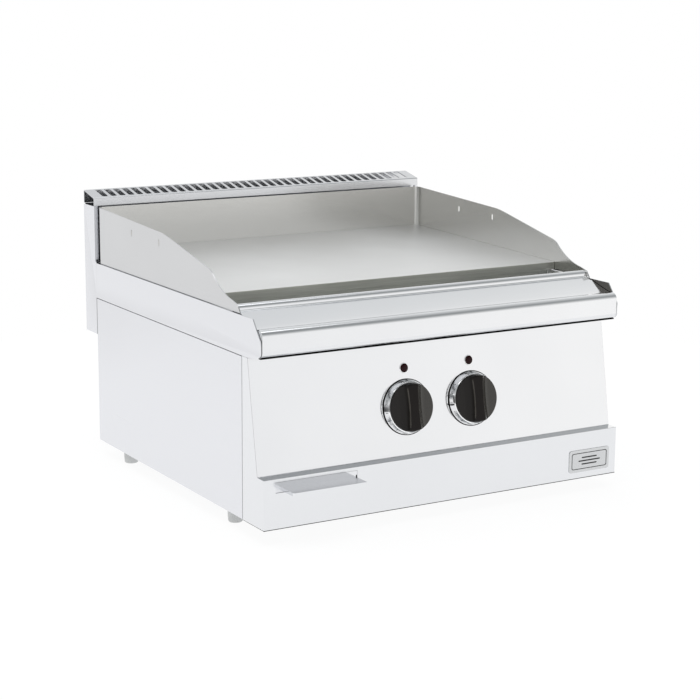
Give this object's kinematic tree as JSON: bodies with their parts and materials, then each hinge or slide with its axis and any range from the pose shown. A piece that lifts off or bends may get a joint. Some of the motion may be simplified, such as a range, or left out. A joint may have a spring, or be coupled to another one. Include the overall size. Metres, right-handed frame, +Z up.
{
  "type": "flat top griddle",
  "caption": "Countertop electric flat top griddle with folded steel body, splash guard, sloping plate, grease gutter and tray, rear flue cap and two heat knobs.",
  "frame": {"origin": "on the counter, under the middle of the overall box, tray tongue included", "axes": "+Z up, -Y towards the cook, +X to the cook's right"},
  "size_m": [0.6, 0.63, 0.4187],
  "materials": {
    "satin_steel": "satin brushed",
    "plate_steel": "ground and polished",
    "galvanised": "matt galvanised",
    "chrome": "polished",
    "black_plastic": "semi gloss",
    "grey_plastic": "matt",
    "white_ceramic": "matt moulded",
    "lens": "gloss translucent",
    "wool": "fibrous",
    "element_sheath": "oxidised",
    "copper": "drawn",
    "brass": "machined"
  },
  "bodies": {
    "housing": {"badge_plate": "chrome", "base_pan": "galvanised", "bonding_stud": "brass", "cable_gland": "black_plastic", "control_panel": "satin_steel", "cross_rail_front": "galvanised", "cross_rail_rear": "galvanised", "drain_spout": "satin_steel", "duct_back_wall": "satin_steel", "duct_front_wall": "satin_steel", "element_clamp_front": "galvanised", "element_clamp_rear": "galvanised", "element_left": "element_sheath", "element_right": "element_sheath", "end_plate_left": "satin_steel", "end_plate_right": "satin_steel", "gland_nut": "black_plastic", "griddle_plate": "plate_steel", "gutter_trough": "satin_steel", "insulation_pan": "galvanised", "insulation_slab": "wool", "knob_bezel_left": "chrome", "knob_bezel_right": "chrome", "lamp_holder_left": "white_ceramic", "lamp_holder_right": "white_ceramic", "lamp_lens_left": "lens", "lamp_lens_right": "lens", "overheat_cutout": "white_ceramic", "rear_panel": "galvanised", "sensing_bulb_cutout": "copper", "sensing_bulb_left": "copper", "sensing_bulb_right": "copper", "side_panel_left": "satin_steel", "side_panel_right": "satin_steel", "splash_guard": "satin_steel", "terminal_block": "white_ceramic", "thermostat_left": "white_ceramic", "thermostat_right": "white_ceramic", "tray_rail_left": "galvanised", "tray_rail_right": "galvanised", "worktop_front": "satin_steel"},
    "knob_left_body": {"knob_left": "black_plastic", "thermostat_shaft_left": "brass"},
    "knob_right_body": {"knob_right": "black_plastic", "thermostat_shaft_right": "brass"},
    "tray_body": {"grease_tray": "satin_steel"},
    "cap_body": {"flue_cap": "satin_steel"},
    "foot_front_left_body": {"foot_front_left": "grey_plastic"},
    "foot_front_right_body": {"foot_front_right": "grey_plastic"},
    "foot_rear_left_body": {"foot_rear_left": "grey_plastic"},
    "foot_rear_right_body": {"foot_rear_right": "grey_plastic"}
  },
  "joints": [
    {"name": "knob_left_turn", "type": "hinge", "parent": "housing", "child": "knob_left_body", "pos_m": [-0.055, -0.25557, 0.159], "axis": [0, 0.9858, -0.1682], "range_deg": [0, 290]},
    {"name": "knob_right_turn", "type": "hinge", "parent": "housing", "child": "knob_right_body", "pos_m": [0.055, -0.25557, 0.159], "axis": [0, 0.9858, -0.1682], "range_deg": [0, 290]},
    {"name": "grease_tray_slide", "type": "slide", "parent": "housing", "child": "tray_body", "axis": [0, -1, 0], "range_m": [0, 0.3]},
    {"name": "flue_cap_lift", "type": "slide", "parent": "housing", "child": "cap_body", "axis": [0, 0, 1], "range_m": [0, 0.05]},
    {"name": "foot_front_left_height", "type": "slide", "parent": "housing", "child": "foot_front_left_body", "axis": [0, 0, -1], "range_m": [0, 0.008]},
    {"name": "foot_front_right_height", "type": "slide", "parent": "housing", "child": "foot_front_right_body", "axis": [0, 0, -1], "range_m": [0, 0.008]},
    {"name": "foot_rear_left_height", "type": "slide", "parent": "housing", "child": "foot_rear_left_body", "axis": [0, 0, -1], "range_m": [0, 0.008]},
    {"name": "foot_rear_right_height", "type": "slide", "parent": "housing", "child": "foot_rear_right_body", "axis": [0, 0, -1], "range_m": [0, 0.008]}
  ]
}
